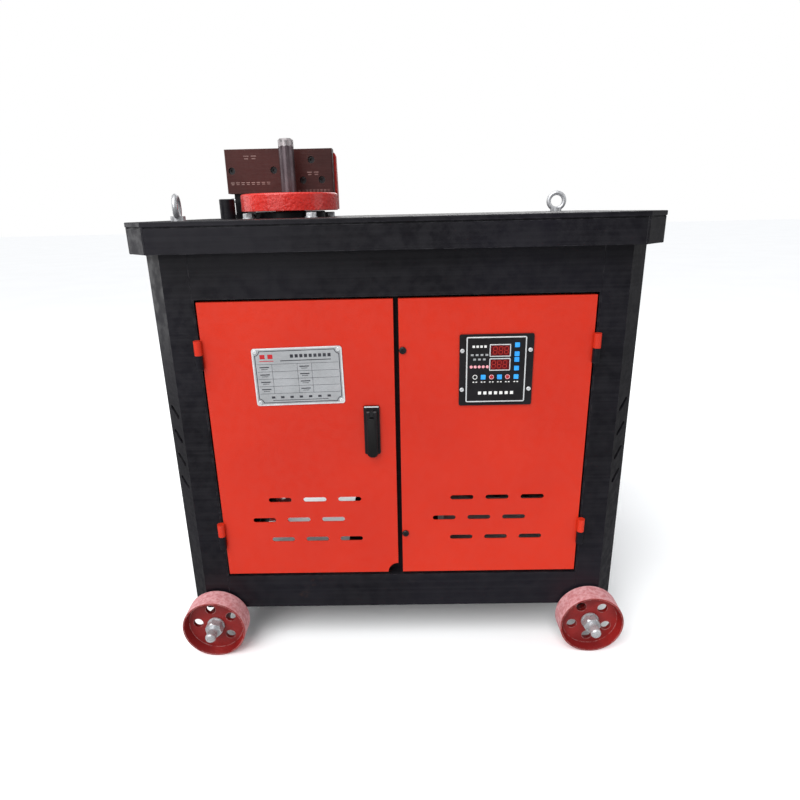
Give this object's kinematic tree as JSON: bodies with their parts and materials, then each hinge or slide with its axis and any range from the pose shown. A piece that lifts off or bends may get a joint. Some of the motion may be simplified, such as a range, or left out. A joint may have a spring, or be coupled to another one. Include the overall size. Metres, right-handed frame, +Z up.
{
  "type": "rebar bender",
  "caption": "Cabinet table on four cast wheels with a powered work disk, centre pin, fence and swing blocks, two hinged doors, a latch and a key panel.",
  "frame": {"origin": "on the floor below the middle of the table, at the bottom centre of the bounding box", "axes": "+Z up; the doors and the control panel face -Y; +X to the right of someone facing the doors"},
  "size_m": [0.9, 0.634, 0.989],
  "materials": {
    "black_paint": "satin black enamel",
    "door_red": "semi-gloss orange-red enamel",
    "cast_red": "gloss red over rough casting",
    "wheel_red": "worn dusty red over cast iron",
    "zinc": "bright zinc plate",
    "brown_block": "brown oxide, ground",
    "pin_steel": "dark ground steel",
    "black_oxide": "black oxide",
    "machined": "machined steel",
    "cast_grey": "grey primer on cast iron",
    "motor_paint": "blue-grey enamel",
    "plate_alu": "satin printed aluminium",
    "black_plastic": "fine-grain black plastic",
    "key_blue": "gloss blue",
    "belt_rubber": "matt rubber",
    "box_grey": "light grey powder coat"
  },
  "bodies": {
    "machine": {"table_plate": "black_paint", "apron": "black_paint", "corner_posts": "black_paint", "side_panels": "black_paint", "rear_panel": "black_paint", "front_rails": "black_paint", "door_stiles": "black_paint", "base_rails": "black_paint", "axle_tubes": "black_paint", "axles": "zinc", "wheel_nuts": "zinc", "gearbox_housing": "cast_grey", "gearbox_cover": "cast_grey", "bearing_seat": "black_paint", "seat_bolts": "zinc", "main_bearings": "machined", "motor_body": "motor_paint", "motor_mount": "black_paint", "fence_bracket": "black_paint", "fence_block": "brown_block", "fence_bolts": "black_oxide", "bar_post": "black_paint", "eye_bolts": "zinc", "hinge_lower_barrels": "black_paint", "hinge_pins": "machined", "electric_box": "box_grey", "cable_gland": "black_plastic", "v_belt": "belt_rubber"},
    "work_head": {"work_disk": "cast_red", "main_shaft": "machined", "centre_pin": "pin_steel", "swing_bracket": "cast_red", "swing_block": "brown_block", "swing_bolts": "black_oxide", "output_gear": "machined"},
    "mid_gear_shaft": {"mid_gears": "machined"},
    "input_drive": {"input_shaft": "machined", "input_pulley": "cast_grey"},
    "motor_drive": {"motor_shaft": "machined", "motor_pulley": "cast_grey"},
    "wheel_fl": {"wheel_front_left": "wheel_red"},
    "wheel_fr": {"wheel_front_right": "wheel_red"},
    "wheel_rl": {"wheel_rear_left": "wheel_red"},
    "wheel_rr": {"wheel_rear_right": "wheel_red"},
    "left_door_leaf": {"left_door": "door_red", "nameplate": "plate_alu", "nameplate_rivets": "zinc", "latch_base": "black_plastic"},
    "latch_spindle": {"latch_rotor": "black_oxide"},
    "latch_handle": {"latch_lever": "black_plastic"},
    "right_door_leaf": {"right_door": "door_red", "control_panel": "black_plastic", "door_screws": "black_oxide"},
    "key_1_cap": {"key_1": "key_blue"},
    "key_2_cap": {"key_2": "key_blue"},
    "key_3_cap": {"key_3": "key_blue"},
    "key_4_cap": {"key_4": "key_blue"},
    "key_5_cap": {"key_5": "key_blue"},
    "key_6_cap": {"key_6": "key_blue"},
    "key_7_cap": {"key_7": "key_blue"}
  },
  "joints": [
    {"name": "disk_turn", "type": "hinge", "parent": "machine", "child": "work_head", "pos_m": [-0.212, 0, 0.874], "axis": [0, 0, -1], "range_deg": [0, 180]},
    {"name": "mid_gear_turn", "type": "hinge", "parent": "machine", "child": "mid_gear_shaft", "pos_m": [-0.062, 0, 0.75], "axis": [0, 0, -1], "range_deg": [-720, 0]},
    {"name": "input_shaft_turn", "type": "hinge", "parent": "machine", "child": "input_drive", "pos_m": [0.0505, 0, 0.74], "axis": [0, 0, -1], "range_deg": [0, 2880]},
    {"name": "motor_turn", "type": "hinge", "parent": "machine", "child": "motor_drive", "pos_m": [0.2805, 0, 0.65], "axis": [0, 0, -1], "range_deg": [0, 8640]},
    {"name": "wheel_front_left_roll", "type": "hinge", "parent": "machine", "child": "wheel_fl", "pos_m": [-0.376, -0.2685, 0.0625], "axis": [0, 1, 0], "continuous": true},
    {"name": "wheel_front_right_roll", "type": "hinge", "parent": "machine", "child": "wheel_fr", "pos_m": [0.376, -0.2685, 0.0625], "axis": [0, 1, 0], "continuous": true},
    {"name": "wheel_rear_left_roll", "type": "hinge", "parent": "machine", "child": "wheel_rl", "pos_m": [-0.376, 0.2685, 0.0625], "axis": [0, 1, 0], "continuous": true},
    {"name": "wheel_rear_right_roll", "type": "hinge", "parent": "machine", "child": "wheel_rr", "pos_m": [0.376, 0.2685, 0.0625], "axis": [0, 1, 0], "continuous": true},
    {"name": "left_door_swing", "type": "hinge", "parent": "machine", "child": "left_door_leaf", "pos_m": [-0.3485, -0.2515, 0.43], "axis": [0, 0, -1], "range_deg": [0, 110]},
    {"name": "right_door_swing", "type": "hinge", "parent": "machine", "child": "right_door_leaf", "pos_m": [0.3485, -0.2515, 0.43], "axis": [0, 0, 1], "range_deg": [0, 110]},
    {"name": "latch_turn", "type": "hinge", "parent": "left_door_leaf", "child": "latch_spindle", "pos_m": [-0.0478, -0.251, 0.498], "axis": [0, -1, 0], "range_deg": [0, 90]},
    {"name": "latch_flip", "type": "hinge", "parent": "latch_spindle", "child": "latch_handle", "pos_m": [-0.0478, -0.2552, 0.504], "axis": [-1, 0, 0], "range_deg": [0, 45]},
    {"name": "key_1_press", "type": "slide", "parent": "right_door_leaf", "child": "key_1_cap", "axis": [0, 1, 0], "range_m": [0, 0.0008], "stiffness_N_per_m": 400, "springref_m": -0.001},
    {"name": "key_2_press", "type": "slide", "parent": "right_door_leaf", "child": "key_2_cap", "axis": [0, 1, 0], "range_m": [0, 0.0008], "stiffness_N_per_m": 400, "springref_m": -0.001},
    {"name": "key_3_press", "type": "slide", "parent": "right_door_leaf", "child": "key_3_cap", "axis": [0, 1, 0], "range_m": [0, 0.0008], "stiffness_N_per_m": 400, "springref_m": -0.001},
    {"name": "key_4_press", "type": "slide", "parent": "right_door_leaf", "child": "key_4_cap", "axis": [0, 1, 0], "range_m": [0, 0.0008], "stiffness_N_per_m": 400, "springref_m": -0.001},
    {"name": "key_5_press", "type": "slide", "parent": "right_door_leaf", "child": "key_5_cap", "axis": [0, 1, 0], "range_m": [0, 0.0008], "stiffness_N_per_m": 400, "springref_m": -0.001},
    {"name": "key_6_press", "type": "slide", "parent": "right_door_leaf", "child": "key_6_cap", "axis": [0, 1, 0], "range_m": [0, 0.0008], "stiffness_N_per_m": 400, "springref_m": -0.001},
    {"name": "key_7_press", "type": "slide", "parent": "right_door_leaf", "child": "key_7_cap", "axis": [0, 1, 0], "range_m": [0, 0.0008], "stiffness_N_per_m": 400, "springref_m": -0.001}
  ],
  "couplings": [
    {"joint": "mid_gear_turn", "follows": "disk_turn", "ratio": -4},
    {"joint": "input_shaft_turn", "follows": "disk_turn", "ratio": 16},
    {"joint": "motor_turn", "follows": "disk_turn", "ratio": 48}
  ]
}
